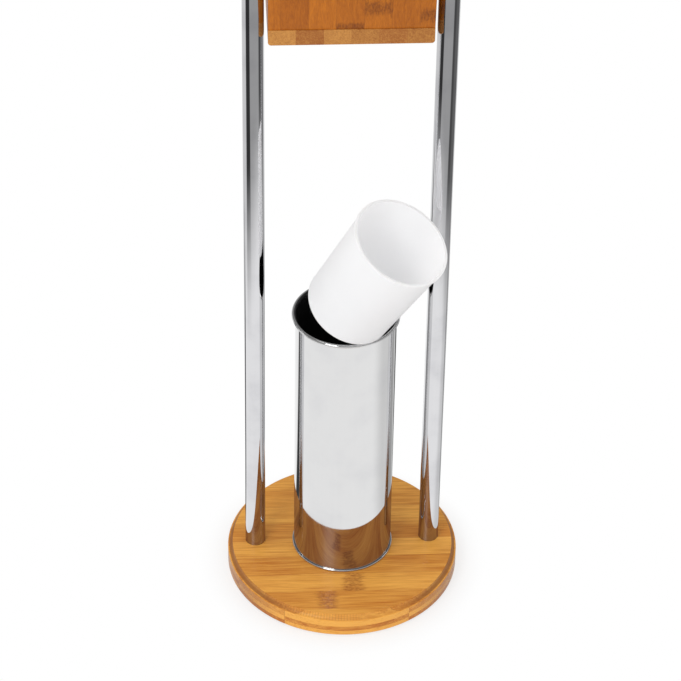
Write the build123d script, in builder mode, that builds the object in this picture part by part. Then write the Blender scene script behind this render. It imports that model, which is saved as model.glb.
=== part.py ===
from build123d import *
import os
from math import cos, radians, sin, tan

# Toilet accessory stand: a round bamboo foot with two chrome tube posts, a steel canister with
# a loose plastic liner, and a lidded bamboo box and a paper roll holder between the posts.
# Millimetres, Z up, X to the right, Y to the back. The origin is on the floor, under the
# middle of the round foot.

# Round foot
BASE_DIAMETER = 232.0
BASE_TOP = 25.0
COVE_WIDTH = 4.2
COVE_HEIGHT = 5.3
COVE_HOLLOW = 0.29
NOSE_RADIUS = 0.5
BASE_EDGE_ROUND = 1.0
PAD_PROUD = 1.5
PAD_THICKNESS = 3.0
PAD_DIAMETER = 16.0
PAD_INSET = 24.0
PAD_COUNT = 4

# Posts
POST_SPACING = 176.0
POST_Y = 3.5
POST_DIAMETER = 20.0
POST_WALL = 1.2
POST_ABOVE_ROLL = 18.0
SOCKET_DEPTH = 13.0
FIT = 0.1
PLUG_LENGTH = 18.0
CAP_PLUG_LENGTH = 12.0
CAP_LIP = 2.0
CAP_DOME = 3.5

# Fasteners
BOLT_DIAMETER = 6.0
BOLT_HEAD_DIAMETER = 10.0
BOLT_HEAD_HEIGHT = 4.0
BOLT_SOCKET_WIDTH = 4.0
BOLT_REACH = 12.0
WASHER_DIAMETER = 12.0
WASHER_THICKNESS = 1.2
BORE_PLAY = 0.25

# Canister
CANISTER_DIAMETER = 98.0
CANISTER_HEIGHT = 292.5
CANISTER_Y = 0.5
SHEET = 0.8
LIP_BEAD_RADIUS = 1.6
LIP_OVERHANG = 3.4
FOOT_BEAD_RADIUS = 1.1
FOOT_BEAD_OVERHANG = 1.5
INSERT_DIAMETER = 9.0
INSERT_LENGTH = 13.0

# Liner cup, held tilted at the canister's mouth
LINER_LENGTH = 117.0
LINER_MOUTH_DIAMETER = 93.6
LINER_BOTTOM_DIAMETER = 85.2
LINER_WALL = 1.6
LINER_CORNER = 7.0
LINER_RIM_PROUD = 1.0
LINER_RIM_HEIGHT = 2.4
LINER_TILT = 29.8
LINER_TURN = -34.8
LINER_FOOT = (-0.8, -17.5, 336.5)

# Box between the posts
BOX_WIDTH = 150.0
BOX_BOTTOM = 631.0
BOX_FRONT = -10.5
BOX_BACK = 69.5
BOARD_EASE = 0.8
FLOOR_THICKNESS = 16.0
FLOOR_EDGE_ROUND = 3.0
WALL_HEIGHT = 96.0
FRONT_THICKNESS = 10.0
FRONT_LEAN = 8.0
FRONT_SETBACK = 0.8
WALL_THICKNESS = 12.0
LID_THICKNESS = 12.0
LID_GAP = 0.4
LID_NOSE = 3.0
LID_EDGE_ROUND = 2.0
SCREW_DIAMETER = 5.0
SCREW_HEAD_DIAMETER = 9.5
SCREW_HEAD_HEIGHT = 2.6
SCREW_LOW = 46.0
SCREW_HIGH = 80.0
NUT_DIAMETER = 7.0
NUT_FLANGE = 0.8
NUT_LENGTH = 9.0
SADDLE_WIDTH = 14.0

# Lid hinges
HINGE_WIDTH = 30.0
HINGE_SPREAD = 90.0
LEAF_THICKNESS = 1.2
LEAF_HEIGHT = 10.0
KNUCKLE_DIAMETER = 5.6
PIN_DIAMETER = 2.8
PIN_CLEARANCE = 0.06
KNUCKLE_GAP = 0.4

# Paper roll holder
ROLL_ABOVE_LID = 88.0
ROD_DIAMETER = 8.0
ROD_CLEARANCE = 0.3
ROD_END_GAP = 0.6
SLEEVE_DIAMETER = 22.0
SLEEVE_BORE_CLEARANCE = 0.08
SLEEVE_END_GAP = 1.5
BRACKET_REACH = 12.0
BRACKET_WALL = 4.2
BRACKET_HORN = 10.0
BRACKET_BACK = 3.0
BRACKET_GRIP = 4.0
STUD_DIAMETER = 6.0
STUD_LENGTH = 4.0

# Places that follow from the sizes above
BASE_RADIUS = BASE_DIAMETER / 2
POST_RADIUS = POST_DIAMETER / 2
POST_BORE_RADIUS = POST_RADIUS - POST_WALL
POST_FOOT = BASE_TOP - SOCKET_DEPTH
BODY_RADIUS = CANISTER_DIAMETER / 2
BODY_BORE_RADIUS = BODY_RADIUS - SHEET
CANISTER_MOUTH = BASE_TOP + CANISTER_HEIGHT
FOOT_BEAD_TOP = BASE_TOP + 2 * FOOT_BEAD_RADIUS
WALL_FOOT = BOX_BOTTOM + FLOOR_THICKNESS
WALL_TOP = WALL_FOOT + WALL_HEIGHT
LID_BOTTOM = WALL_TOP + LID_GAP
LID_TOP = LID_BOTTOM + LID_THICKNESS
ROLL_HEIGHT = LID_TOP + ROLL_ABOVE_LID
POST_TOP = ROLL_HEIGHT + POST_ABOVE_ROLL
LEAN = tan(radians(FRONT_LEAN))
FRONT_FOOT = BOX_FRONT + FRONT_SETBACK
FRONT_HEAD = FRONT_FOOT - WALL_HEIGHT * LEAN
FRONT_DEPTH = FRONT_THICKNESS / cos(radians(FRONT_LEAN))
POST_FACE = POST_SPACING / 2 - POST_RADIUS
SPACER = POST_FACE - BOX_WIDTH / 2
SIDES = (("left", -1), ("right", 1))

os.makedirs("parts", exist_ok=True)


def keep(piece, name):
    """Label one finished piece and write it."""
    piece.part.label = name
    export_step(piece.part, f"parts/{name}.step")


def pointing(x, y, z, direction):
    """A plane at a place, whose normal points in a direction."""
    return Plane(origin=(x, y, z), z_dir=direction)


# Round foot: one turned board with a cove and a nose round its rim. The posts stand in blind
# sockets, and their bolts come up through counterbores in the underside.
with BuildPart() as base_board:
    nose_top = BASE_TOP - COVE_HEIGHT
    cove_inner = BASE_RADIUS - NOSE_RADIUS - COVE_WIDTH
    with BuildSketch(Plane.XZ):
        with BuildLine():
            Line((0, PAD_PROUD), (BASE_RADIUS - BASE_EDGE_ROUND, PAD_PROUD))
            RadiusArc(
                (BASE_RADIUS - BASE_EDGE_ROUND, PAD_PROUD),
                (BASE_RADIUS, PAD_PROUD + BASE_EDGE_ROUND),
                -BASE_EDGE_ROUND,
            )
            Line((BASE_RADIUS, PAD_PROUD + BASE_EDGE_ROUND), (BASE_RADIUS, nose_top - NOSE_RADIUS))
            RadiusArc(
                (BASE_RADIUS, nose_top - NOSE_RADIUS),
                (BASE_RADIUS - NOSE_RADIUS, nose_top),
                -NOSE_RADIUS,
            )
            ThreePointArc(
                (BASE_RADIUS - NOSE_RADIUS, nose_top),
                (cove_inner + COVE_WIDTH * COVE_HOLLOW, BASE_TOP - COVE_HEIGHT * (1 - COVE_HOLLOW)),
                (cove_inner, BASE_TOP),
            )
            Line((cove_inner, BASE_TOP), (0, BASE_TOP))
            Line((0, BASE_TOP), (0, PAD_PROUD))
        make_face()
    revolve(axis=Axis.Z)
    counterbore = BOLT_HEAD_HEIGHT + WASHER_THICKNESS + BORE_PLAY
    for side, sign in SIDES:
        with Locations((sign * POST_SPACING / 2, POST_Y, BASE_TOP)):
            Hole(POST_RADIUS + FIT, depth=SOCKET_DEPTH)
        with Locations(pointing(sign * POST_SPACING / 2, POST_Y, PAD_PROUD, (0, 0, -1))):
            CounterBoreHole(
                BOLT_DIAMETER / 2 + BORE_PLAY,
                WASHER_DIAMETER / 2 + BORE_PLAY,
                counterbore,
                depth=POST_FOOT - PAD_PROUD,
            )
    with Locations((0, CANISTER_Y, BASE_TOP)):
        Hole(INSERT_DIAMETER / 2 + FIT, depth=INSERT_LENGTH)
    with Locations(pointing(0, 0, PAD_PROUD, (0, 0, -1))):
        with PolarLocations(BASE_RADIUS - PAD_INSET, PAD_COUNT, start_angle=180 / PAD_COUNT):
            Hole(PAD_DIAMETER / 2 + FIT, depth=PAD_THICKNESS - PAD_PROUD)
keep(base_board, "base_board")

# Rubber pads, pressed into shallow pockets in the underside.
pad_places = PolarLocations(BASE_RADIUS - PAD_INSET, PAD_COUNT, start_angle=180 / PAD_COUNT)
for number, place in enumerate(pad_places.locations, start=1):
    with BuildPart() as base_pad:
        with BuildSketch():
            with Locations(place.position):
                Circle(PAD_DIAMETER / 2)
        extrude(amount=PAD_THICKNESS)
        chamfer(base_pad.edges().group_by(Axis.Z)[0], PAD_PROUD / 2)
    keep(base_pad, f"base_pad_{number}")

# Posts with their threaded plug, bolt, washer and cap.
for side, sign in SIDES:
    x = sign * POST_SPACING / 2
    inward = (-sign, 0, 0)

    with BuildPart() as post:
        with BuildSketch(Plane.XY.offset(POST_FOOT)):
            with Locations((x, POST_Y)):
                Circle(POST_RADIUS)
                Circle(POST_BORE_RADIUS, mode=Mode.SUBTRACT)
        extrude(amount=POST_TOP - POST_FOOT)
        for height in (SCREW_LOW, SCREW_HIGH):
            with Locations(pointing(x - sign * POST_RADIUS, POST_Y, WALL_FOOT + height, inward)):
                Hole(NUT_DIAMETER / 2 + FIT, depth=POST_RADIUS)
        with Locations(pointing(x - sign * POST_RADIUS, POST_Y, ROLL_HEIGHT, inward)):
            Hole(STUD_DIAMETER / 2 + FIT, depth=POST_RADIUS)
    keep(post, f"{side}_post")

    with BuildPart() as plug:
        with BuildSketch(Plane.XY.offset(POST_FOOT)):
            with Locations((x, POST_Y)):
                Circle(POST_BORE_RADIUS - FIT)
                Circle(BOLT_DIAMETER / 2 + FIT, mode=Mode.SUBTRACT)
        extrude(amount=PLUG_LENGTH)
        chamfer(plug.edges().group_by(Axis.Z)[-1], 1.0)
    keep(plug, f"{side}_post_plug")

    washer_bottom = PAD_PROUD + BORE_PLAY + BOLT_HEAD_HEIGHT
    with BuildPart() as washer:
        with BuildSketch(Plane.XY.offset(washer_bottom)):
            with Locations((x, POST_Y)):
                Circle(WASHER_DIAMETER / 2)
                Circle(BOLT_DIAMETER / 2 + FIT, mode=Mode.SUBTRACT)
        extrude(amount=WASHER_THICKNESS)
    keep(washer, f"{side}_post_washer")

    with BuildPart() as bolt:
        with BuildSketch(Plane.XY.offset(washer_bottom - BOLT_HEAD_HEIGHT)):
            with Locations((x, POST_Y)):
                Circle(BOLT_HEAD_DIAMETER / 2)
        extrude(amount=BOLT_HEAD_HEIGHT)
        with BuildSketch(Plane.XY.offset(washer_bottom)):
            with Locations((x, POST_Y)):
                Circle(BOLT_DIAMETER / 2)
        extrude(amount=POST_FOOT + BOLT_REACH - washer_bottom)
        with BuildSketch(Plane.XY.offset(washer_bottom - BOLT_HEAD_HEIGHT)):
            with Locations((x, POST_Y)):
                RegularPolygon(BOLT_SOCKET_WIDTH / 2, 6, major_radius=False)
        extrude(amount=BOLT_HEAD_HEIGHT / 2, mode=Mode.SUBTRACT)
    keep(bolt, f"{side}_post_bolt")

    dome_radius = (POST_RADIUS**2 + CAP_DOME**2) / (2 * CAP_DOME)
    with BuildPart() as cap:
        with BuildSketch(Plane.XZ):
            with BuildLine():
                Polyline(
                    (0, POST_TOP - CAP_PLUG_LENGTH),
                    (POST_BORE_RADIUS - FIT, POST_TOP - CAP_PLUG_LENGTH),
                    (POST_BORE_RADIUS - FIT, POST_TOP),
                    (POST_RADIUS, POST_TOP),
                    (POST_RADIUS, POST_TOP + CAP_LIP),
                )
                RadiusArc(
                    (POST_RADIUS, POST_TOP + CAP_LIP),
                    (0, POST_TOP + CAP_LIP + CAP_DOME),
                    -dome_radius,
                )
                Line((0, POST_TOP + CAP_LIP + CAP_DOME), (0, POST_TOP - CAP_PLUG_LENGTH))
            make_face()
        revolve(axis=Axis.Z)
    cap.part.position += (x, POST_Y, 0)
    keep(cap, f"{side}_post_cap")

# Canister: a drawn tube whose mouth flares and curls outward into a bead. It is turned about the
# Z axis.
bead_centre = BODY_RADIUS + LIP_OVERHANG - LIP_BEAD_RADIUS
flare = bead_centre - BODY_BORE_RADIUS
with BuildPart() as canister_shell:
    with BuildSketch(Plane.XZ):
        with Locations((bead_centre, CANISTER_MOUTH - flare)):
            Circle(flare)
            Circle(flare - SHEET, mode=Mode.SUBTRACT)
            Rectangle(flare, flare, align=(Align.MAX, Align.MIN), mode=Mode.INTERSECT)
        with Locations((bead_centre, CANISTER_MOUTH - LIP_BEAD_RADIUS)):
            Circle(LIP_BEAD_RADIUS)
        with Locations((BODY_BORE_RADIUS, FOOT_BEAD_TOP)):
            Rectangle(
                SHEET, CANISTER_MOUTH - flare - FOOT_BEAD_TOP, align=(Align.MIN, Align.MIN)
            )
    revolve(axis=Axis.Z)
canister_shell.part.position += (0, CANISTER_Y, 0)
keep(canister_shell, "canister_shell")

# Pressed bottom of the canister, whose edge is curled into the bead that the tube stands on.
with BuildPart() as canister_base:
    with BuildSketch(Plane.XZ):
        with Locations((0, BASE_TOP)):
            Rectangle(BODY_RADIUS, SHEET, align=(Align.MIN, Align.MIN))
        with Locations((BODY_BORE_RADIUS, BASE_TOP)):
            Rectangle(SHEET, FOOT_BEAD_TOP - BASE_TOP, align=(Align.MIN, Align.MIN))
        foot_bead = BODY_RADIUS + FOOT_BEAD_OVERHANG - FOOT_BEAD_RADIUS
        with Locations((foot_bead, BASE_TOP + FOOT_BEAD_RADIUS)):
            Circle(FOOT_BEAD_RADIUS)
    revolve(axis=Axis.Z)
    with Locations((0, 0, BASE_TOP + SHEET)):
        Hole(SCREW_DIAMETER / 2 + BORE_PLAY, depth=SHEET)
canister_base.part.position += (0, CANISTER_Y, 0)
keep(canister_base, "canister_base")

# Threaded insert in the board and the screw that holds the canister down.
with BuildPart() as canister_insert:
    with BuildSketch(Plane.XY.offset(BASE_TOP - INSERT_LENGTH)):
        with Locations((0, CANISTER_Y)):
            Circle(INSERT_DIAMETER / 2)
            Circle(SCREW_DIAMETER / 2 + FIT, mode=Mode.SUBTRACT)
    extrude(amount=INSERT_LENGTH)
keep(canister_insert, "canister_insert")

with BuildPart() as canister_screw:
    with BuildSketch(Plane.XY.offset(BASE_TOP + SHEET)):
        with Locations((0, CANISTER_Y)):
            Circle(SCREW_HEAD_DIAMETER / 2)
    extrude(amount=SCREW_HEAD_HEIGHT)
    fillet(canister_screw.edges().group_by(Axis.Z)[-1], SCREW_HEAD_HEIGHT * 0.6)
    with BuildSketch(Plane.XY.offset(BASE_TOP + SHEET)):
        with Locations((0, CANISTER_Y)):
            Circle(SCREW_DIAMETER / 2)
    extrude(amount=-(INSERT_LENGTH - SHEET))
keep(canister_screw, "canister_screw")

# Liner: a thin tapered cup with a bead round its mouth, tilted over the canister.
tilt = radians(LINER_TILT)
turn = radians(LINER_TURN)
liner_up = Vector(sin(tilt) * cos(turn), sin(tilt) * sin(turn), cos(tilt))
liner_out = Vector(cos(tilt) * cos(turn), cos(tilt) * sin(turn), -sin(tilt))
liner_plane = Plane(origin=LINER_FOOT, x_dir=liner_out, z_dir=liner_out.cross(liner_up))
mouth_radius = LINER_MOUTH_DIAMETER / 2
bottom_radius = LINER_BOTTOM_DIAMETER / 2
with BuildPart() as liner_cup:
    with BuildSketch(liner_plane) as cup:
        with BuildLine():
            Polyline(
                (0, 0),
                (bottom_radius, 0),
                (mouth_radius, LINER_LENGTH),
                (mouth_radius - LINER_WALL, LINER_LENGTH),
                (bottom_radius - LINER_WALL, LINER_WALL),
                (0, LINER_WALL),
                (0, 0),
            )
        make_face()
        outer = cup.vertices().sort_by_distance((bottom_radius, 0))[0]
        fillet(outer, LINER_CORNER)
        inner = cup.vertices().sort_by_distance((bottom_radius - LINER_WALL, LINER_WALL))[0]
        fillet(inner, LINER_CORNER - LINER_WALL)
        with Locations((mouth_radius - LINER_WALL, LINER_LENGTH)):
            Rectangle(LINER_WALL + LINER_RIM_PROUD, LINER_RIM_HEIGHT, align=(Align.MIN, Align.MAX))
    revolve(axis=Axis(LINER_FOOT, liner_up))
keep(liner_cup, "liner_cup")

# Box: a thick floor board, a front that leans out, two sides, a back and a hinged lid.
with BuildPart() as box_floor:
    with BuildSketch(Plane.XY.offset(BOX_BOTTOM)):
        with Locations((0, (BOX_FRONT + BOX_BACK) / 2)):
            Rectangle(BOX_WIDTH, BOX_BACK - BOX_FRONT)
    extrude(amount=FLOOR_THICKNESS)
    fillet(box_floor.edges().filter_by(Axis.Y).group_by(Axis.Z)[0], FLOOR_EDGE_ROUND)
    fillet(box_floor.edges().group_by(Axis.Y)[0].group_by(Axis.Z)[0], BOARD_EASE)
keep(box_floor, "box_floor")

with BuildPart() as box_front:
    with BuildSketch(Plane.YZ.offset(-BOX_WIDTH / 2)):
        with BuildLine():
            Polyline(
                (FRONT_FOOT, WALL_FOOT),
                (FRONT_FOOT + FRONT_DEPTH, WALL_FOOT),
                (FRONT_HEAD + FRONT_DEPTH, WALL_TOP),
                (FRONT_HEAD, WALL_TOP),
                close=True,
            )
        make_face()
    extrude(amount=BOX_WIDTH)
    leaning = box_front.edges().filter_by(lambda edge: WALL_HEIGHT < edge.length < BOX_WIDTH)
    fillet(leaning.sort_by(Axis.Y)[:2], BOARD_EASE)
keep(box_front, "box_front")

for side, sign in SIDES:
    with BuildPart() as box_side:
        with BuildSketch(Plane.YZ.offset(sign * BOX_WIDTH / 2)):
            with BuildLine():
                Polyline(
                    (FRONT_FOOT + FRONT_DEPTH, WALL_FOOT),
                    (BOX_BACK, WALL_FOOT),
                    (BOX_BACK, WALL_TOP),
                    (FRONT_HEAD + FRONT_DEPTH, WALL_TOP),
                    close=True,
                )
            make_face()
        extrude(amount=-sign * WALL_THICKNESS)
        upright = box_side.edges().filter_by(Axis.Z).group_by(Axis.Y)[-1]
        fillet(upright.sort_by(lambda edge: -sign * edge.center().X)[0], BOARD_EASE)
        for height in (SCREW_LOW, SCREW_HIGH):
            with Locations(pointing(sign * BOX_WIDTH / 2, POST_Y, WALL_FOOT + height, (sign, 0, 0))):
                Hole(SCREW_DIAMETER / 2 + BORE_PLAY, depth=WALL_THICKNESS)
    keep(box_side, f"box_{side}_side")

with BuildPart() as box_back:
    with BuildSketch(Plane.XY.offset(WALL_FOOT)):
        with Locations((0, BOX_BACK)):
            Rectangle(
                BOX_WIDTH - 2 * WALL_THICKNESS, WALL_THICKNESS, align=(Align.CENTER, Align.MAX)
            )
    extrude(amount=WALL_HEIGHT)
keep(box_back, "box_back")

with BuildPart() as box_lid:
    with BuildSketch(Plane.XY.offset(LID_BOTTOM)):
        with Locations((0, BOX_BACK)):
            Rectangle(
                BOX_WIDTH, BOX_BACK - FRONT_HEAD + LID_NOSE, align=(Align.CENTER, Align.MAX)
            )
    extrude(amount=LID_THICKNESS)
    fillet(box_lid.edges().filter_by(Axis.Z).group_by(Axis.Y)[0], LID_EDGE_ROUND)
    fillet(box_lid.edges().group_by(Axis.Z)[-1], LID_EDGE_ROUND)
keep(box_lid, "box_lid")

# Two butt hinges on the back: the box leaf has the outer knuckles, the lid leaf the middle one.
knuckle_y = BOX_BACK + KNUCKLE_DIAMETER / 2
knuckle_z = WALL_TOP + LID_GAP / 2
third = HINGE_WIDTH / 3


def leaf(x, low, high, runs):
    """A hinge leaf on the back, between two heights, with its knuckles along the runs."""
    with BuildPart() as piece:
        with BuildSketch(Plane.XZ.offset(-BOX_BACK)):
            with Locations((x, low)):
                Rectangle(HINGE_WIDTH, high - low, align=(Align.CENTER, Align.MIN))
        extrude(amount=-LEAF_THICKNESS)
        with BuildSketch(Plane.YZ.offset(x - HINGE_WIDTH / 2)):
            with Locations((knuckle_y, knuckle_z)):
                Circle(KNUCKLE_DIAMETER / 2 + KNUCKLE_GAP)
        extrude(amount=HINGE_WIDTH, mode=Mode.SUBTRACT)
        for start, end in runs:
            with BuildSketch(Plane.YZ.offset(x + start)):
                with Locations((knuckle_y, knuckle_z)):
                    Circle(KNUCKLE_DIAMETER / 2)
                toward = 1 if (low + high) / 2 > knuckle_z else -1
                with Locations((BOX_BACK, knuckle_z)):
                    Rectangle(
                        LEAF_THICKNESS,
                        KNUCKLE_DIAMETER,
                        align=(Align.MIN, Align.MIN if toward > 0 else Align.MAX),
                    )
            extrude(amount=end - start)
        with BuildSketch(Plane.YZ.offset(x - HINGE_WIDTH / 2)):
            with Locations((knuckle_y, knuckle_z)):
                Circle(PIN_DIAMETER / 2 + PIN_CLEARANCE)
        extrude(amount=HINGE_WIDTH, mode=Mode.SUBTRACT)
    return piece


for side, sign in SIDES:
    x = sign * HINGE_SPREAD / 2
    edge = HINGE_WIDTH / 2
    middle = third / 2
    outer_runs = ((-edge, -middle - KNUCKLE_GAP), (middle + KNUCKLE_GAP, edge))
    keep(leaf(x, WALL_TOP - LEAF_HEIGHT, WALL_TOP, outer_runs), f"{side}_hinge_box_leaf")
    keep(leaf(x, LID_BOTTOM, LID_BOTTOM + LEAF_HEIGHT, ((-middle, middle),)), f"{side}_hinge_lid_leaf")
    with BuildPart() as pin:
        with BuildSketch(Plane.YZ.offset(x - edge)):
            with Locations((knuckle_y, knuckle_z)):
                Circle(PIN_DIAMETER / 2)
        extrude(amount=HINGE_WIDTH)
    keep(pin, f"{side}_hinge_pin")

# Box fixings: a saddle spacer fills the gap to the round post, and a screw runs from inside the
# box through the side and the saddle into a rivet nut in the post's wall.
for side, sign in SIDES:
    for level, height in (("lower", WALL_FOOT + SCREW_LOW), ("upper", WALL_FOOT + SCREW_HIGH)):
        with BuildPart() as saddle:
            with BuildSketch(Plane.YZ.offset(sign * BOX_WIDTH / 2)):
                with Locations((POST_Y, height)):
                    Circle(SADDLE_WIDTH / 2)
                    Circle(SCREW_DIAMETER / 2 + BORE_PLAY, mode=Mode.SUBTRACT)
            extrude(amount=sign * (SPACER + POST_RADIUS / 2))
            with BuildSketch(Plane.XY.offset(height - SADDLE_WIDTH)):
                with Locations((sign * POST_SPACING / 2, POST_Y)):
                    Circle(POST_RADIUS)
            extrude(amount=2 * SADDLE_WIDTH, mode=Mode.SUBTRACT)
            with BuildSketch(Plane.YZ.offset(sign * (POST_FACE - NUT_FLANGE))):
                with Locations((POST_Y, height)):
                    Circle(NUT_DIAMETER / 2 + NUT_FLANGE + FIT)
            extrude(amount=sign * NUT_LENGTH, mode=Mode.SUBTRACT)
        keep(saddle, f"{side}_{level}_saddle")

        with BuildPart() as nut:
            with BuildSketch(Plane.YZ.offset(sign * (POST_FACE - NUT_FLANGE))):
                with Locations((POST_Y, height)):
                    Circle(NUT_DIAMETER / 2 + NUT_FLANGE)
            extrude(amount=sign * NUT_FLANGE)
            with BuildSketch(Plane.YZ.offset(sign * POST_FACE)):
                with Locations((POST_Y, height)):
                    Circle(NUT_DIAMETER / 2)
            extrude(amount=sign * NUT_LENGTH)
            with BuildSketch(Plane.YZ.offset(sign * (POST_FACE - NUT_FLANGE))):
                with Locations((POST_Y, height)):
                    Circle(SCREW_DIAMETER / 2 + FIT)
            extrude(amount=sign * (NUT_LENGTH + NUT_FLANGE), mode=Mode.SUBTRACT)
        keep(nut, f"{side}_{level}_rivet_nut")

        head_face = sign * (BOX_WIDTH / 2 - WALL_THICKNESS)
        with BuildPart() as screw:
            with BuildSketch(Plane.YZ.offset(head_face)):
                with Locations((POST_Y, height)):
                    Circle(SCREW_HEAD_DIAMETER / 2)
            extrude(amount=-sign * SCREW_HEAD_HEIGHT)
            with BuildSketch(Plane.YZ.offset(head_face)):
                with Locations((POST_Y, height)):
                    Circle(SCREW_DIAMETER / 2)
            extrude(amount=sign * (WALL_THICKNESS + SPACER + NUT_LENGTH))
        keep(screw, f"{side}_{level}_screw")

# Paper roll holder: an open bracket on each post, a chrome rod that lifts out of them, and a
# bamboo sleeve that turns on the rod.
bracket_face = POST_FACE - BRACKET_REACH
slot_radius = ROD_DIAMETER / 2 + ROD_CLEARANCE
for side, sign in SIDES:
    with BuildPart() as bracket:
        with BuildSketch(Plane.YZ.offset(sign * bracket_face)):
            with Locations((POST_Y, ROLL_HEIGHT)):
                Circle(slot_radius + BRACKET_WALL)
                Rectangle(
                    2 * (slot_radius + BRACKET_WALL), BRACKET_HORN, align=(Align.CENTER, Align.MIN)
                )
        extrude(amount=sign * (BRACKET_REACH + BRACKET_GRIP))
        with BuildSketch(Plane.YZ.offset(sign * bracket_face)):
            with Locations((POST_Y, ROLL_HEIGHT)):
                Circle(slot_radius)
                Rectangle(2 * slot_radius, 2 * BRACKET_HORN, align=(Align.CENTER, Align.MIN))
        extrude(amount=sign * (BRACKET_REACH - BRACKET_BACK), mode=Mode.SUBTRACT)
        with BuildSketch(Plane.XY.offset(ROLL_HEIGHT - 2 * POST_DIAMETER)):
            with Locations((sign * POST_SPACING / 2, POST_Y)):
                Circle(POST_RADIUS)
        extrude(amount=4 * POST_DIAMETER, mode=Mode.SUBTRACT)
        with BuildSketch(Plane.YZ.offset(sign * (POST_FACE - BRACKET_BACK / 2))):
            with Locations((POST_Y, ROLL_HEIGHT)):
                Circle(STUD_DIAMETER / 2)
        extrude(amount=sign * (BRACKET_BACK / 2 + STUD_LENGTH))
    keep(bracket, f"{side}_roll_bracket")

rod_half = POST_FACE - BRACKET_BACK - ROD_END_GAP
with BuildPart() as roll_rod:
    with BuildSketch(Plane.YZ.offset(-rod_half)):
        with Locations((POST_Y, ROLL_HEIGHT)):
            Circle(ROD_DIAMETER / 2)
    extrude(amount=2 * rod_half)
    chamfer(roll_rod.edges().filter_by(GeomType.CIRCLE), ROD_DIAMETER / 10)
keep(roll_rod, "roll_rod")

sleeve_half = bracket_face - SLEEVE_END_GAP
with BuildPart() as roll_sleeve:
    with BuildSketch(Plane.YZ.offset(-sleeve_half)):
        with Locations((POST_Y, ROLL_HEIGHT)):
            Circle(SLEEVE_DIAMETER / 2)
            Circle(ROD_DIAMETER / 2 + SLEEVE_BORE_CLEARANCE, mode=Mode.SUBTRACT)
    extrude(amount=2 * sleeve_half)
    rims = roll_sleeve.edges().filter_by(GeomType.CIRCLE).filter_by(
        lambda rim: rim.radius > ROD_DIAMETER
    )
    fillet(rims, SLEEVE_DIAMETER / 12)
keep(roll_sleeve, "roll_sleeve")
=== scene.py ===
from math import cos, radians, sin

import bpy
from mathutils import Matrix, Vector


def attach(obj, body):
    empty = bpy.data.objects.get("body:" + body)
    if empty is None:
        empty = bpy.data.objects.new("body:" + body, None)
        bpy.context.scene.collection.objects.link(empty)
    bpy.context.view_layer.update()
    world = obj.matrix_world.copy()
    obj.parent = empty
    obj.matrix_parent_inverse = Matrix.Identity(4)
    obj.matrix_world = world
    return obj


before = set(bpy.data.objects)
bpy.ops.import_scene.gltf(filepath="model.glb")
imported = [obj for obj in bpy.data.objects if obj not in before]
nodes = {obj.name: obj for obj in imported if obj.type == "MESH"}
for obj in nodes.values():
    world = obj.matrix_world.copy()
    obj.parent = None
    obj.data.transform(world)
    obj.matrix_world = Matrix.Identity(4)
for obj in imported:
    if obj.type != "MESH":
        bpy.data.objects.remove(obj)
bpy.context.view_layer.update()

# The foot is one round board, laminated from bamboo strips in four plies and turned on a lathe.
# A cove and a small nose run round its rim, and a thin satin lacquer closes the grain.
FOOT_PLY_EDGES = (0.0071, 0.0126, 0.0197)
FOOT_STRIP_WIDTH = 0.0255


def srgb(red, green, blue):
    """A colour as it looks on screen, 0 to 255, as the linear colour that the nodes take."""
    shares = [channel / 255 for channel in (red, green, blue)]
    return (*(c / 12.92 if c <= 0.04 else ((c + 0.055) / 1.055) ** 2.4 for c in shares), 1.0)


def add(tree, kind, inputs=None, **settings):
    """A new node, with its settings and with each input set to a value or linked to a socket."""
    node = tree.nodes.new(kind)
    for name, value in settings.items():
        setattr(node, name, value)
    for name, value in (inputs or {}).items():
        if isinstance(value, bpy.types.NodeSocket):
            tree.links.new(value, node.inputs[name])
        else:
            node.inputs[name].default_value = value
    return node


def maths(tree, operation, *values):
    """The result of one Math node on up to three numbers or sockets."""
    return add(tree, "ShaderNodeMath", dict(enumerate(values)), operation=operation).outputs[0]


def vector_maths(tree, operation, *values, result=0):
    """The result of one Vector Math node: its vector, or its number where result is 1."""
    inputs = dict(enumerate(values))
    return add(tree, "ShaderNodeVectorMath", inputs, operation=operation).outputs[result]


def ramp(tree, value, low, high, start=0.0, end=1.0):
    """value carried smoothly from the range low..high to start..end, and held outside it."""
    inputs = {"Value": value, "From Min": low, "From Max": high, "To Min": start, "To Max": end}
    return add(tree, "ShaderNodeMapRange", inputs, interpolation_type="SMOOTHSTEP").outputs[0]


def band(tree, value, low, high, soft):
    """1 while value lies between low and high, falling to 0 over a soft edge."""
    rise = ramp(tree, value, low - soft, low + soft)
    return maths(tree, "MULTIPLY", rise, ramp(tree, value, high - soft, high + soft, 1.0, 0.0))


def noise(tree, place, scale, detail=2.0, rough=0.5):
    """Noise from 0 to 1, with its own scale along each axis."""
    scaled = vector_maths(tree, "MULTIPLY", place, scale)
    inputs = {"Vector": scaled, "Scale": 1.0, "Detail": detail, "Roughness": rough}
    return add(tree, "ShaderNodeTexNoise", inputs).outputs["Fac"]


def blend_colour(tree, share, first, second, mode="MIX"):
    """Two colours mixed by a share."""
    inputs = {0: share, 6: first, 7: second}
    return add(tree, "ShaderNodeMix", inputs, data_type="RGBA", blend_type=mode).outputs[2]


def shader_group(name, takes, gives):
    """An empty shader node group with named inputs and outputs, and its two end nodes."""
    tree = bpy.data.node_groups.new(name, "ShaderNodeTree")
    for label, kind, value in takes:
        socket = tree.interface.new_socket(label, in_out="INPUT", socket_type=f"NodeSocket{kind}")
        socket.default_value = value
    for label, kind in gives:
        tree.interface.new_socket(label, in_out="OUTPUT", socket_type=f"NodeSocket{kind}")
    return tree, tree.nodes.new("NodeGroupInput").outputs, tree.nodes.new("NodeGroupOutput").inputs


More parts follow.
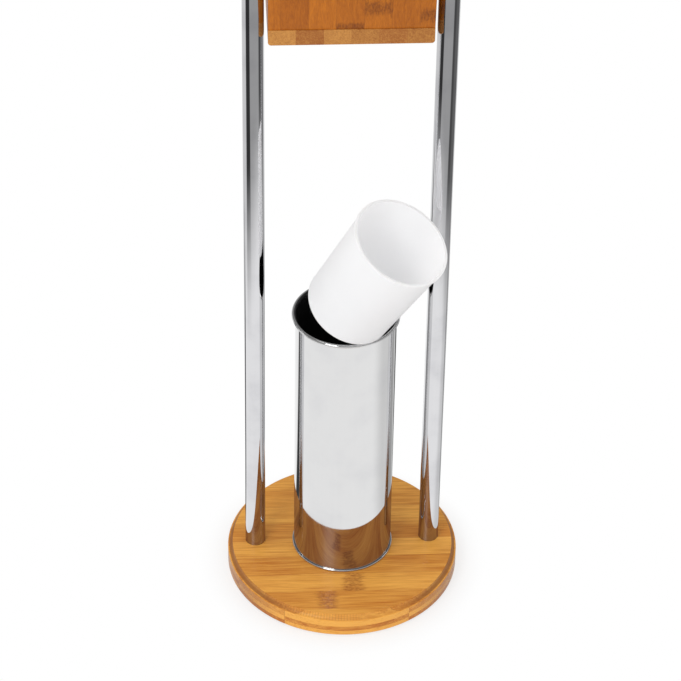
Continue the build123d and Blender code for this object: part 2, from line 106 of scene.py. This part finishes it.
def finish_material(name, **principled):
    """A material with its Principled shader set from keywords, where an underscore is a space."""
    material = bpy.data.materials.new(name)
    material.use_nodes = True
    tree = material.node_tree
    shader = tree.nodes["Principled BSDF"]
    for label, value in principled.items():
        shader.inputs[label.replace("_", " ")].default_value = value
    return material, tree, shader


def use(tree, group, inputs):
    """The outputs of a node group placed in a tree."""
    return add(tree, "ShaderNodeGroup", inputs, node_tree=group).outputs


def coat(material, *names):
    """Gives CAD pieces their material."""
    for name in names:
        mesh = nodes[name].data
        if not mesh.materials:
            mesh.materials.append(material)
        for slot in nodes[name].material_slots:
            slot.material = material


# A joint of the culm: a mottled brown smudge with torn ends, across one strip only.
joint, given, put = shader_group(
    "bamboo joint",
    (
        ("Board", "Vector", (0, 0, 0)),
        ("Place", "Vector", (0, 0, 0)),
        ("Length", "Float", 0.019),
        ("Strip Width", "Float", 0.025),
        ("Face Shift", "Float", 0.0),
    ),
    (("Mask", "Float"),),
)
here = add(joint, "ShaderNodeSeparateXYZ", {0: given["Board"]}).outputs
there = add(joint, "ShaderNodeSeparateXYZ", {0: given["Place"]}).outputs
strip_numbers = []
for spot in (here, there):
    across = maths(joint, "ADD", spot["Y"], given["Face Shift"])
    across = maths(joint, "DIVIDE", across, given["Strip Width"])
    strip_numbers.append(maths(joint, "FLOOR", across))
same_strip = maths(joint, "COMPARE", *strip_numbers, 0.5)
torn = maths(joint, "SUBTRACT", noise(joint, given["Board"], (60, 420, 420)), 0.5)
away = maths(joint, "ABSOLUTE", maths(joint, "SUBTRACT", here["X"], there["X"]))
away = maths(joint, "DIVIDE", away, given["Length"])
smudge = ramp(joint, maths(joint, "MULTIPLY_ADD", torn, 0.9, away), 0.22, 0.62, 1.0, 0.0)
mottle = ramp(joint, noise(joint, given["Board"], (260, 700, 700), 3.0), 0.34, 0.66, 0.35, 1.0)
shown = maths(joint, "MULTIPLY", maths(joint, "MULTIPLY", smudge, mottle), same_strip)
joint.links.new(shown, put["Mask"])

bamboo, given, put = shader_group(
    "laminated bamboo",
    (
        ("Board", "Vector", (0, 0, 0)),
        ("Ply Edges", "Vector", (-9, -9, -9)),
        ("Strip Width", "Float", 0.025),
        ("Core Strips", "Float", 2.0),
        ("Face Shift", "Float", 0.0),
        ("Seed", "Float", 0.0),
        ("Contrast", "Float", 1.0),
        ("Face Contrast", "Float", 0.3),
        ("Grain", "Float", 1.0),
        ("Marks", "Float", 0.0),
        ("End Grain", "Float", 0.0),
        ("End Share", "Float", 0.6),
        ("Light", "Color", srgb(242, 176, 80)),
        ("Dark", "Color", srgb(184, 103, 30)),
        ("Mark Colour", "Color", srgb(142, 70, 26)),
        ("End Colour", "Color", srgb(142, 88, 42)),
    ),
    (("Color", "Color"), ("Roughness", "Float"), ("Height", "Float")),
)
board = add(bamboo, "ShaderNodeSeparateXYZ", {0: given["Board"]}).outputs
edge = add(bamboo, "ShaderNodeSeparateXYZ", {0: given["Ply Edges"]}).outputs
above = [maths(bamboo, "GREATER_THAN", board["Z"], edge[axis]) for axis in "XYZ"]
on_face = above[2]
ply = maths(bamboo, "ADD", maths(bamboo, "ADD", above[0], above[1]), on_face)
narrower = maths(bamboo, "SUBTRACT", 1.0, given["Core Strips"])
width = maths(bamboo, "MULTIPLY_ADD", on_face, narrower, given["Core Strips"])
width = maths(bamboo, "MULTIPLY", width, given["Strip Width"])
across = maths(bamboo, "MULTIPLY_ADD", on_face, given["Face Shift"], board["Y"])
strips = maths(bamboo, "DIVIDE", across, width)
strip = maths(bamboo, "FLOOR", strips)
in_strip = maths(bamboo, "FRACT", strips)

# Each strip of each ply gets its own chance, and neighbours take turns to be lighter and darker.
place = add(bamboo, "ShaderNodeCombineXYZ", {"X": strip, "Y": ply, "Z": given["Seed"]}).outputs[0]
chance = add(bamboo, "ShaderNodeTexWhiteNoise", {"Vector": place}, noise_dimensions="3D")
chance = chance.outputs["Color"]
luck = add(bamboo, "ShaderNodeSeparateColor", {0: chance}).outputs[0]
checker = maths(bamboo, "PINGPONG", maths(bamboo, "ADD", strip, ply), 1.0)
own = maths(bamboo, "MULTIPLY_ADD", checker, 0.6, maths(bamboo, "MULTIPLY", luck, 0.4))
spread = maths(bamboo, "SUBTRACT", given["Face Contrast"], given["Contrast"])
spread = maths(bamboo, "MULTIPLY_ADD", on_face, spread, given["Contrast"])

# Fibres: streaks drawn out along the strip, shifted from strip to strip.
shifted = vector_maths(bamboo, "MULTIPLY_ADD", chance, (3, 3, 3), given["Board"])
fine = noise(bamboo, shifted, (34, 1500, 1500), 3.0, 0.65)
middling = noise(bamboo, shifted, (24, 620, 620), 2.0, 0.6)
broad = noise(bamboo, shifted, (7, 230, 230))
cloud = noise(bamboo, shifted, (12, 40, 40), 1.0)
grain = maths(bamboo, "MULTIPLY", maths(bamboo, "SUBTRACT", fine, 0.5), 1.3)
for layer, strength in ((middling, 1.1), (broad, 0.6), (cloud, 0.7)):
    grain = maths(bamboo, "MULTIPLY_ADD", maths(bamboo, "SUBTRACT", layer, 0.5), strength, grain)
tone = maths(bamboo, "MULTIPLY_ADD", maths(bamboo, "SUBTRACT", own, 0.5), spread, 0.45)
tone = maths(bamboo, "MULTIPLY_ADD", grain, given["Grain"], tone)
tone = add(bamboo, "ShaderNodeClamp", {0: tone}).outputs[0]
wood = blend_colour(bamboo, tone, given["Light"], given["Dark"])
marked = maths(bamboo, "MULTIPLY", maths(bamboo, "MULTIPLY", given["Marks"], on_face), 0.7)
wood = blend_colour(bamboo, marked, wood, given["Mark Colour"])

# End grain: cut fibre bundles as dark specks.
specks = vector_maths(bamboo, "MULTIPLY", given["Board"], (120, 1300, 600))
specks = add(bamboo, "ShaderNodeTexVoronoi", {"Vector": specks, "Scale": 1.0}).outputs["Distance"]
speck = ramp(bamboo, specks, 0.15, 0.5, 1.3, 0.7)
end_share = maths(bamboo, "MULTIPLY", given["End Grain"], given["End Share"])
end_share = maths(bamboo, "MULTIPLY", end_share, speck)
wood = blend_colour(bamboo, end_share, wood, given["End Colour"])

# Glue lines between strips.
to_seam = maths(bamboo, "MINIMUM", in_strip, maths(bamboo, "SUBTRACT", 1.0, in_strip))
seam = ramp(bamboo, maths(bamboo, "MULTIPLY", to_seam, width), 0.00005, 0.0004, 1.0, 0.0)
wood = blend_colour(bamboo, maths(bamboo, "MULTIPLY", seam, 0.3), wood, given["Mark Colour"])
bamboo.links.new(wood, put["Color"])
bamboo.links.new(maths(bamboo, "MULTIPLY_ADD", fine, 0.16, 0.28), put["Roughness"])
height = maths(bamboo, "MULTIPLY_ADD", middling, 0.6, fine)
bamboo.links.new(maths(bamboo, "MULTIPLY_ADD", seam, -0.8, height), put["Height"])


def bamboo_board(name, order, offset=(0, 0, 0), marks=(), **inputs):
    """A lacquered bamboo material. The order of axes says which runs along the grain, across it
    and through the board, and each mark is a joint's place along, place across and length."""
    material, tree, shader = finish_material(
        name, Coat_Weight=0.08, Coat_Roughness=0.22, IOR=1.45, Specular_IOR_Level=0.25
    )
    inputs = {label.replace("_", " "): value for label, value in inputs.items()}
    texture = add(tree, "ShaderNodeTexCoord").outputs
    axes = add(tree, "ShaderNodeSeparateXYZ", {0: texture["Object"]}).outputs
    turned = dict(zip("XYZ", (axes[axis] for axis in order)))
    turned = add(tree, "ShaderNodeCombineXYZ", turned).outputs[0]
    inputs["Board"] = vector_maths(tree, "ADD", turned, offset)
    facing = add(tree, "ShaderNodeSeparateXYZ", {0: texture["Normal"]}).outputs[order[0]]
    inputs["End Grain"] = ramp(tree, maths(tree, "ABSOLUTE", facing), 0.5, 0.95)
    labels = ("Board", "Strip Width", "Face Shift")
    laid = {label: inputs[label] for label in labels if label in inputs}
    for along, across, length in marks:
        smudge = use(tree, joint, {**laid, "Place": (along, across, 0), "Length": length})["Mask"]
        shown = inputs.get("Marks")
        inputs["Marks"] = smudge if shown is None else maths(tree, "MAXIMUM", shown, smudge)
    wood = use(tree, bamboo, inputs)
    relief = {"Strength": 0.3, "Distance": 0.0003, "Height": wood["Height"]}
    bump = add(tree, "ShaderNodeBump", relief)
    tree.links.new(wood["Color"], shader.inputs["Base Color"])
    tree.links.new(wood["Roughness"], shader.inputs["Roughness"])
    tree.links.new(bump.outputs[0], shader.inputs["Normal"])
    return material, tree, shader


foot_bamboo, tree, shader = bamboo_board(
    "foot bamboo",
    "XYZ",
    offset=(0.0, 0.149, 0.0),
    marks=((0.0085, 0.079, 0.022), (-0.019, 0.054, 0.021)),
    Ply_Edges=FOOT_PLY_EDGES,
    Strip_Width=FOOT_STRIP_WIDTH,
    Face_Shift=0.0045,
    Seed=4.0,
    End_Share=0.8,
)

# Fine ticks of the turning tool cross the cove at the front left. The cove is painted darker at the
# left and right, as painted shade in the hollow and partly its darker cut fibre ends, and the whole
# board is painted darker where polished steel mirrors it, as a darker painted reflection.
# Neither tint is a measured property of the wood: both are fitted to the photograph.
COVE_INSIDE = 0.1112
COVE_FOOT = 0.0199
COVE_SHADE_INSIDE = 0.1116
COVE_SHADE_OUTSIDE = 0.1146
TICKS_PER_RADIAN = 243.0
TICKS_FROM, TICKS_TO = -0.75, 0.1
STEEL_REFLECTION_SHADE = (0.50, 0.41, 0.45, 1.0)
wood = shader.inputs["Base Color"].links[0].from_socket
spot = add(tree, "ShaderNodeTexCoord").outputs["Object"]
axes = add(tree, "ShaderNodeSeparateXYZ", {0: spot}).outputs
reach = vector_maths(tree, "LENGTH", vector_maths(tree, "MULTIPLY", spot, (1, 1, 0)), result=1)
in_cove = maths(tree, "GREATER_THAN", reach, COVE_INSIDE)
in_cove = maths(tree, "MULTIPLY", in_cove, maths(tree, "GREATER_THAN", axes["Z"], COVE_FOOT))
bearing = maths(tree, "ARCTAN2", axes["X"], maths(tree, "MULTIPLY", axes["Y"], -1.0))
wander = maths(tree, "MULTIPLY", noise(tree, spot, (90, 90, 90)), 5.0)
tick = maths(tree, "SINE", maths(tree, "MULTIPLY_ADD", bearing, TICKS_PER_RADIAN, wander))
in_ticks = band(tree, bearing, TICKS_FROM, TICKS_TO, 0.15)
tick = maths(tree, "MULTIPLY", ramp(tree, tick, 0.1, 0.9), in_ticks)
tick = maths(tree, "MULTIPLY", maths(tree, "MULTIPLY", tick, in_cove), 0.25)
wood = blend_colour(tree, tick, wood, srgb(150, 84, 36))
to_side = ramp(tree, maths(tree, "ABSOLUTE", axes["X"]), 0.045, 0.085, 0.15, 0.85)
# Painted shade: a darker band in the cove at the left and right, partly for its cut fibre ends.
cove_shade_and_end_grain = band(tree, reach, COVE_SHADE_INSIDE, COVE_SHADE_OUTSIDE, 0.0006)
cove_shade_and_end_grain = maths(tree, "MULTIPLY", cove_shade_and_end_grain, to_side)
wood = blend_colour(tree, cove_shade_and_end_grain, wood, srgb(146, 92, 44))
# Painted reflection: the board is painted darker where polished steel mirrors it.
mirrored = add(tree, "ShaderNodeLightPath").outputs["Is Glossy Ray"]
wood = blend_colour(tree, maths(tree, "MULTIPLY", mirrored, 0.9), wood, STEEL_REFLECTION_SHADE, "MULTIPLY")
tree.links.new(wood, shader.inputs["Base Color"])
coat(foot_bamboo, "base_board")

# Four soft black rubber pads are pressed into shallow pockets under the foot.
pad_rubber, tree, shader = finish_material("pad rubber")
spot = add(tree, "ShaderNodeTexCoord").outputs["Object"]
grain = noise(tree, spot, (1800, 1800, 1800), 3.0)
tree.links.new(ramp(tree, grain, 0.3, 0.7, 0.6, 0.85), shader.inputs["Roughness"])
soot = blend_colour(tree, grain, srgb(30, 30, 32), srgb(52, 52, 54))
tree.links.new(soot, shader.inputs["Base Color"])
bump = add(tree, "ShaderNodeBump", {"Strength": 0.4, "Distance": 0.0002, "Height": grain})
tree.links.new(bump.outputs[0], shader.inputs["Normal"])
coat(pad_rubber, *(f"base_pad_{number}" for number in range(1, 5)))

# Two straight steel tubes, chrome plated and buffed, stand in sockets in the foot. Each is closed
# at the top by a domed cap that is pressed into the tube.
sheen, given, put = shader_group(
    "buffed metal",
    (
        ("Point", "Vector", (0, 0, 0)),
        ("Roughness", "Float", 0.05),
        ("Smudge", "Float", 0.05),
        ("Streak", "Vector", (300, 300, 12)),
    ),
    (("Roughness", "Float"), ("Height", "Float"), ("Shade", "Float")),
)
wide = noise(sheen, given["Point"], (22, 22, 22), 4.0)
lines = noise(sheen, given["Point"], given["Streak"])
worn = maths(sheen, "MULTIPLY_ADD", lines, 0.35, ramp(sheen, wide, 0.45, 0.75))
rough = maths(sheen, "MULTIPLY_ADD", worn, given["Smudge"], given["Roughness"])
sheen.links.new(rough, put["Roughness"])
sheen.links.new(lines, put["Height"])
sheen.links.new(worn, put["Shade"])


def metal(name, clean, dull, roughness, smudge, streak=(300, 300, 12), relief=0.02):
    """A metal with faint buffing lines and soft handling marks."""
    material, tree, shader = finish_material(name, Metallic=1.0)
    spot = add(tree, "ShaderNodeTexCoord").outputs["Object"]
    inputs = {"Point": spot, "Roughness": roughness, "Smudge": smudge, "Streak": streak}
    surface = use(tree, sheen, inputs)
    inputs = {"Strength": relief, "Distance": 0.0001, "Height": surface["Height"]}
    bump = add(tree, "ShaderNodeBump", inputs)
    tree.links.new(blend_colour(tree, surface["Shade"], clean, dull), shader.inputs["Base Color"])
    tree.links.new(surface["Roughness"], shader.inputs["Roughness"])
    tree.links.new(bump.outputs[0], shader.inputs["Normal"])
    return material, tree, shader


post_chrome = metal("post chrome", srgb(224, 224, 226), srgb(208, 208, 211), 0.03, 0.03)[0]
for side in ("left", "right"):
    coat(post_chrome, f"{side}_post", f"{side}_post_cap")

# A threaded plug is welded in the foot of each tube, and a socket bolt with a plain washer pulls
# it down from below. All three are zinc plated steel.
zinc_plate = metal(
    "zinc plate", srgb(196, 198, 200), srgb(168, 170, 172), 0.28, 0.2, (400, 400, 400), 0.1
)[0]
for side in ("left", "right"):
    coat(zinc_plate, *(f"{side}_post_{part}" for part in ("plug", "washer", "bolt")))

# The canister is a drawn stainless tube, mirror polished outside and enamelled black inside. Its
# mouth flares and is curled over into a bead, and its pressed bottom stands on a bead too.
CANISTER_Y = 0.0005
CANISTER_INSIDE_RADIUS = 0.0486
FLARE_END_RADIUS = 0.0500
canister_steel, tree, shader = metal(
    "canister steel", srgb(225, 225, 225), srgb(219, 219, 220), 0.03, 0.03, (260, 260, 9), 0.012
)
steel_colour = shader.inputs["Base Color"].links[0].from_socket
steel_roughness = shader.inputs["Roughness"].links[0].from_socket
texture = add(tree, "ShaderNodeTexCoord").outputs
from_axis = vector_maths(tree, "ADD", texture["Object"], (0, -CANISTER_Y, 0))
from_axis = vector_maths(tree, "MULTIPLY", from_axis, (1, 1, 0))
radius = vector_maths(tree, "LENGTH", from_axis, result=1)
from_axis = vector_maths(tree, "NORMALIZE", from_axis)
outward = vector_maths(tree, "DOT_PRODUCT", texture["Normal"], from_axis, result=1)
in_flare = maths(tree, "LESS_THAN", radius, FLARE_END_RADIUS)
in_flare = maths(tree, "MULTIPLY", in_flare, maths(tree, "LESS_THAN", outward, -0.05))
inside = maths(tree, "MAXIMUM", maths(tree, "LESS_THAN", radius, CANISTER_INSIDE_RADIUS), in_flare)
speckle = noise(tree, texture["Object"], (600, 600, 600))
enamel = blend_colour(tree, speckle, srgb(9, 9, 10), srgb(17, 17, 18))
tree.links.new(blend_colour(tree, inside, steel_colour, enamel), shader.inputs["Base Color"])
tree.links.new(maths(tree, "SUBTRACT", 1.0, inside), shader.inputs["Metallic"])
rough = maths(tree, "MULTIPLY_ADD", inside, 0.5, steel_roughness)
tree.links.new(rough, shader.inputs["Roughness"])
coat(canister_steel, "canister_shell", "canister_base")
coat(zinc_plate, "canister_insert", "canister_screw")

# The liner is a thin moulded cup of milky polypropylene with a narrow rim, held tilted over the
# canister's mouth. A faint glow on its inside, fitted to the photograph, stands in for the light
# that its wall lets through.
LINER_TILT = radians(29.8)
LINER_TURN = radians(-34.8)
LINER_FOOT = (-0.0008, -0.0175, 0.3365)
LINER_AXIS = (
    sin(LINER_TILT) * cos(LINER_TURN),
    sin(LINER_TILT) * sin(LINER_TURN),
    cos(LINER_TILT),
)
LIGHT_THROUGH_WALL = 0.08
liner_plastic, tree, shader = finish_material(
    "liner plastic",
    IOR=1.49,
    Subsurface_Weight=0.7,
    Subsurface_Scale=0.01,
    Subsurface_Radius=(1.0, 1.0, 1.0),
    Emission_Strength=LIGHT_THROUGH_WALL,
)
texture = add(tree, "ShaderNodeTexCoord").outputs
spot = texture["Object"]
cloud = noise(tree, spot, (30, 30, 30), 3.0)
milk = blend_colour(tree, cloud, srgb(248, 248, 249), srgb(245, 245, 247))
tree.links.new(milk, shader.inputs["Base Color"])
tree.links.new(ramp(tree, cloud, 0.3, 0.7, 0.34, 0.46), shader.inputs["Roughness"])
grain = noise(tree, spot, (900, 900, 900))
bump = add(tree, "ShaderNodeBump", {"Strength": 0.05, "Distance": 0.0002, "Height": grain})
tree.links.new(bump.outputs[0], shader.inputs["Normal"])
from_foot = vector_maths(tree, "SUBTRACT", spot, LINER_FOOT)
along = vector_maths(tree, "DOT_PRODUCT", from_foot, LINER_AXIS, result=1)
inputs = {0: LINER_AXIS, "Scale": along}
on_axis = add(tree, "ShaderNodeVectorMath", inputs, operation="SCALE").outputs[0]
from_axis = vector_maths(tree, "NORMALIZE", vector_maths(tree, "SUBTRACT", from_foot, on_axis))
outward = vector_maths(tree, "DOT_PRODUCT", texture["Normal"], from_axis, result=1)
inward = maths(tree, "LESS_THAN", outward, -0.5)
glow = blend_colour(tree, inward, (0, 0, 0, 1), (1, 1, 1, 1))
tree.links.new(glow, shader.inputs["Emission Color"])
coat(liner_plastic, "liner_cup")

# The box is screwed together from bamboo boards: a thick floor, a front that leans out, two
# sides, a back and a lid. The strips of the walls run up, so the floor shows its cut ends.
WALL_TONES = {
    "Light": srgb(197, 114, 24),
    "Dark": srgb(148, 76, 13),
    "Mark_Colour": srgb(104, 50, 14),
}
front_bamboo = bamboo_board(
    "front bamboo",
    "ZXY",
    marks=((0.671, 0.024, 0.018), (0.649, 0.0, 0.010), (0.661, 0.068, 0.016)),
    Face_Shift=0.0138,
    Seed=11.0,
    Grain=0.8,
    **WALL_TONES,
)[0]
coat(front_bamboo, "box_front", "box_back")
side_bamboo = bamboo_board(
    "side bamboo", "ZYX", marks=((0.702, 0.03, 0.018),), Seed=17.0, **WALL_TONES
)[0]
coat(side_bamboo, "box_left_side", "box_right_side")
floor_bamboo = bamboo_board(
    "floor bamboo",
    "YXZ",
    marks=((-0.0105, -0.0375, 0.04), (-0.0105, 0.0375, 0.04)),
    Seed=23.0,
    Face_Contrast=0.5,
    End_Share=0.3,
    Light=srgb(208, 148, 76),
    Dark=srgb(138, 76, 30),
    End_Colour=srgb(184, 120, 56),
)[0]
coat(floor_bamboo, "box_floor")
lid_bamboo = bamboo_board(
    "lid bamboo",
    "XYZ",
    marks=((0.03, 0.01, 0.02), (-0.045, 0.04, 0.02)),
    Seed=29.0,
    **WALL_TONES,
)[0]
coat(lid_bamboo, "box_lid")

# Two small butt hinges of nickel plated steel carry the lid. Their leaves are folded round a
# pin, and two round head screws with a cross recess hold each leaf.
LEAF_FACE_Y = 0.0707
HINGE_X = 0.045
SCREW_APART = 0.0085
BOX_LEAF_SCREWS_Z = 0.7365
LID_LEAF_SCREWS_Z = 0.7500
hinge_steel = metal(
    "hinge nickel", srgb(190, 188, 182), srgb(150, 148, 142), 0.2, 0.2, (300, 300, 300), 0.08
)[0]
for side in ("left", "right"):
    coat(hinge_steel, *(f"{side}_hinge_{part}" for part in ("box_leaf", "lid_leaf", "pin")))
heads = bpy.data.node_groups.new("round head screws", "GeometryNodeTree")
heads.is_modifier = True
heads.interface.new_socket("Geometry", in_out="INPUT", socket_type="NodeSocketGeometry")
SCREW_SIZES = {"Head Radius": 0.0023, "Head Height": 0.0011, "Recess Width": 0.0005}
for label, value in SCREW_SIZES.items():
    socket = heads.interface.new_socket(label, in_out="INPUT", socket_type="NodeSocketFloat")
    socket.default_value = value
heads.interface.new_socket("Material", in_out="INPUT", socket_type="NodeSocketMaterial")
heads.interface.new_socket("Geometry", in_out="OUTPUT", socket_type="NodeSocketGeometry")
given = heads.nodes.new("NodeGroupInput").outputs
put = heads.nodes.new("NodeGroupOutput").inputs
ball = add(
    heads, "GeometryNodeMeshUVSphere", {"Segments": 24, "Rings": 12, "Radius": given["Head Radius"]}
).outputs["Mesh"]
squash = maths(heads, "DIVIDE", given["Head Height"], given["Head Radius"])
squash = add(heads, "ShaderNodeCombineXYZ", {"X": 1.0, "Y": 1.0, "Z": squash}).outputs[0]
dome = add(heads, "GeometryNodeTransform", {"Geometry": ball, "Scale": squash}).outputs[0]
cut = heads.nodes.new("GeometryNodeMeshBoolean")
cut.operation = "DIFFERENCE"
heads.links.new(dome, cut.inputs[0])
lift = add(heads, "ShaderNodeCombineXYZ", {"Z": given["Head Height"]}).outputs[0]
for long, short in (("X", "Y"), ("Y", "X")):
    size = add(
        heads,
        "ShaderNodeCombineXYZ",
        {long: given["Head Radius"], short: given["Recess Width"], "Z": given["Head Height"]},
    ).outputs[0]
    bar = add(heads, "GeometryNodeMeshCube", {"Size": size}).outputs["Mesh"]
    bar = add(heads, "GeometryNodeTransform", {"Geometry": bar, "Translation": lift}).outputs[0]
    heads.links.new(bar, cut.inputs[1])
placed = add(
    heads,
    "GeometryNodeInstanceOnPoints",
    {"Points": given["Geometry"], "Instance": cut.outputs[0], "Rotation": (radians(-90), 0, 0)},
).outputs[0]
real = add(heads, "GeometryNodeRealizeInstances", {"Geometry": placed}).outputs[0]
inputs = {"Geometry": real, "Material": given["Material"]}
real = add(heads, "GeometryNodeSetMaterial", inputs).outputs[0]
heads.links.new(real, put["Geometry"])


def leaf_screws(name, body, height):
    """The screw heads of one body's two hinge leaves, as one mesh."""
    places = [
        (hinge + apart, LEAF_FACE_Y, height)
        for hinge in (-HINGE_X, HINGE_X)
        for apart in (-SCREW_APART, SCREW_APART)
    ]
    points = bpy.data.meshes.new("screw places")
    points.from_pydata(places, [], [])
    holder = bpy.data.objects.new("screw places", points)
    bpy.context.scene.collection.objects.link(holder)
    modifier = holder.modifiers.new("screws", "NODES")
    modifier.node_group = heads
    for item in heads.interface.items_tree:
        if item.name == "Material":
            modifier[item.identifier] = hinge_steel
    evaluated = holder.evaluated_get(bpy.context.evaluated_depsgraph_get())
    screws = bpy.data.objects.new(name, bpy.data.meshes.new_from_object(evaluated))
    bpy.data.objects.remove(holder)
    bpy.context.scene.collection.objects.link(screws)
    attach(screws, body)


leaf_screws("box_leaf_screws", "frame", BOX_LEAF_SCREWS_Z)
leaf_screws("lid_leaf_screws", "lid", LID_LEAF_SCREWS_Z)

# Black nylon saddles fill the gap between the flat sides and the round posts. A screw runs from
# inside the box through each saddle into a rivet nut in the tube.
levels = [f"{side}_{level}" for side in ("left", "right") for level in ("lower", "upper")]
coat(pad_rubber, *(f"{level}_saddle" for level in levels))
coat(zinc_plate, *(f"{level}_{part}" for level in levels for part in ("rivet_nut", "screw")))

# Two chrome brackets with open slots are studded to the posts. A chrome rod lies in them, and a
# turned bamboo sleeve rolls on it with the paper.
coat(post_chrome, "left_roll_bracket", "right_roll_bracket", "roll_rod")
sleeve_bamboo = bamboo_board(
    "sleeve bamboo",
    "XYZ",
    offset=(0.0, 0.0085, -0.8434),
    Strip_Width=0.012,
    Seed=37.0,
    Face_Contrast=0.5,
)[0]
coat(sleeve_bamboo, "roll_sleeve")

# The stand is photographed on a white sweep under even light. Metal sees a white floor close by
# with dark flags at the sides, a dimmer studio further out and a dark ceiling.
NEAR_FLOOR = 0.42
FAR_FLOOR = 0.80
ROOM_LIGHT = 0.82
SWEEP_RADIUS = 6.0
SWEEP_DROP = -0.0003
bpy.ops.mesh.primitive_circle_add(
    vertices=96, radius=SWEEP_RADIUS, fill_type="NGON", location=(0, 0, SWEEP_DROP)
)
sweep = bpy.context.object
sweep.name = "white_sweep"
paper, tree, shader = finish_material(
    "white paper", Base_Color=(0.92, 0.92, 0.92, 1), Roughness=0.9, Specular_IOR_Level=0.0
)
spot = add(tree, "ShaderNodeTexCoord").outputs["Object"]
axes = add(tree, "ShaderNodeSeparateXYZ", {0: spot}).outputs
reach = vector_maths(tree, "LENGTH", spot, result=1)
bearing = maths(tree, "ARCTAN2", axes["X"], maths(tree, "MULTIPLY", axes["Y"], -1.0))


def flags(level, *bands):
    """A level of light round the studio, dimmed in each band of bearings: its two ends in radians
    from the front, the softness of its edges and the share of light that it takes."""
    for low, high, soft, share in bands:
        dark = maths(tree, "MULTIPLY", band(tree, bearing, low, high, soft), share)
        level = maths(tree, "MULTIPLY", level, maths(tree, "SUBTRACT", 1.0, dark))
    return level


near = flags(
    1.0,
    (-2.28, -1.95, 0.05, 0.95),
    (1.30, 2.00, 0.30, 0.25),
    (1.90, 2.45, 0.15, 0.60),
    (2.52, 2.90, 0.06, 0.95),
)
front = ramp(tree, maths(tree, "ABSOLUTE", bearing), 1.2, 1.6, 0.40, 0.75)
studio = flags(front, (-1.45, -0.73, 0.06, 0.90), (0.95, 2.20, 0.10, 0.80))
far = ramp(tree, reach, NEAR_FLOOR, FAR_FLOOR)
mirrored = add(tree, "ShaderNodeMix", {0: far, 2: near, 3: studio}).outputs[0]
glow = add(tree, "ShaderNodeEmission", {"Strength": mirrored})
white = add(tree, "ShaderNodeEmission", {"Strength": 1.0})
clear = ramp(tree, reach, 0.117, 0.15, 0.7, 1.0)
shadow = add(tree, "ShaderNodeMixShader", {0: clear, 1: shader.outputs[0], 2: white.outputs[0]})
path = add(tree, "ShaderNodeLightPath").outputs
mirror_path = maths(tree, "MAXIMUM", path["Is Glossy Ray"], path["Is Transmission Ray"])
inputs = {0: path["Is Camera Ray"], 1: shader.outputs[0], 2: shadow.outputs[0]}
seen = add(tree, "ShaderNodeMixShader", inputs)
seen = add(tree, "ShaderNodeMixShader", {0: mirror_path, 1: seen.outputs[0], 2: glow.outputs[0]})
tree.links.new(seen.outputs[0], tree.nodes["Material Output"].inputs["Surface"])
sweep.data.materials.append(paper)

world = bpy.data.worlds.new("pale room")
bpy.context.scene.world = world
world.use_nodes = True
tree = world.node_tree
background = tree.nodes["Background"]
path = add(tree, "ShaderNodeLightPath").outputs
direction = add(tree, "ShaderNodeTexCoord").outputs["Generated"]
direction = add(tree, "ShaderNodeSeparateXYZ", {0: direction}).outputs
ceiling = ramp(tree, direction["Z"], 0.0, 0.5, 0.9, 0.22)
inputs = {0: path["Is Glossy Ray"], 2: ROOM_LIGHT, 3: ceiling}
room = add(tree, "ShaderNodeMix", inputs).outputs[0]
strength = add(tree, "ShaderNodeMix", {0: path["Is Camera Ray"], 2: room, 3: 1.0}).outputs[0]
background.inputs["Color"].default_value = (1, 1, 1, 1)
tree.links.new(strength, background.inputs["Strength"])


def soft_lamp(name, place, aim, width, power):
    """A square area lamp at a place, turned to a point."""
    lamp = bpy.data.lights.new(name, "AREA")
    lamp.size = width
    lamp.energy = power
    holder = bpy.data.objects.new(name, lamp)
    holder.location = place
    toward = Vector(aim) - Vector(place)
    holder.rotation_euler = toward.to_track_quat("-Z", "Y").to_euler()
    bpy.context.scene.collection.objects.link(holder)


soft_lamp("overhead", (-0.3, -0.2, 2.2), (0, 0, 0.3), 1.2, 3.0)
soft_lamp("front_left", (-1.0, -1.5, 1.8), (0, 0, 0.3), 0.8, 14.0)

# A long lens a little above, looking down at the stand as in the photograph.
ELEVATION = radians(38.589)
AZIMUTH = radians(-3.443)
ROLL = radians(0.945)
DISTANCE = 3.06309
TARGET = Vector((-0.004934, 0.0, 0.283554))
SENSOR_WIDTH = 36.0
LENS = 167.45
FAR_CLIP = 50.0
view = Vector((-sin(AZIMUTH) * cos(ELEVATION), cos(AZIMUTH) * cos(ELEVATION), -sin(ELEVATION)))
level_up = Vector((-sin(AZIMUTH) * sin(ELEVATION), cos(AZIMUTH) * sin(ELEVATION), cos(ELEVATION)))
level_right = view.cross(level_up)
right = cos(ROLL) * level_right + sin(ROLL) * level_up
up = -sin(ROLL) * level_right + cos(ROLL) * level_up
lens = bpy.data.cameras.new("photo camera")
lens.sensor_width = SENSOR_WIDTH
lens.lens = LENS
lens.clip_end = FAR_CLIP
camera = bpy.data.objects.new("photo_camera", lens)
turned = Matrix((right, up, -view)).transposed().to_4x4()
camera.matrix_world = Matrix.Translation(TARGET - view * DISTANCE) @ turned
bpy.context.scene.collection.objects.link(camera)
bpy.context.scene.camera = camera
bpy.context.scene.view_settings.view_transform = "Standard"
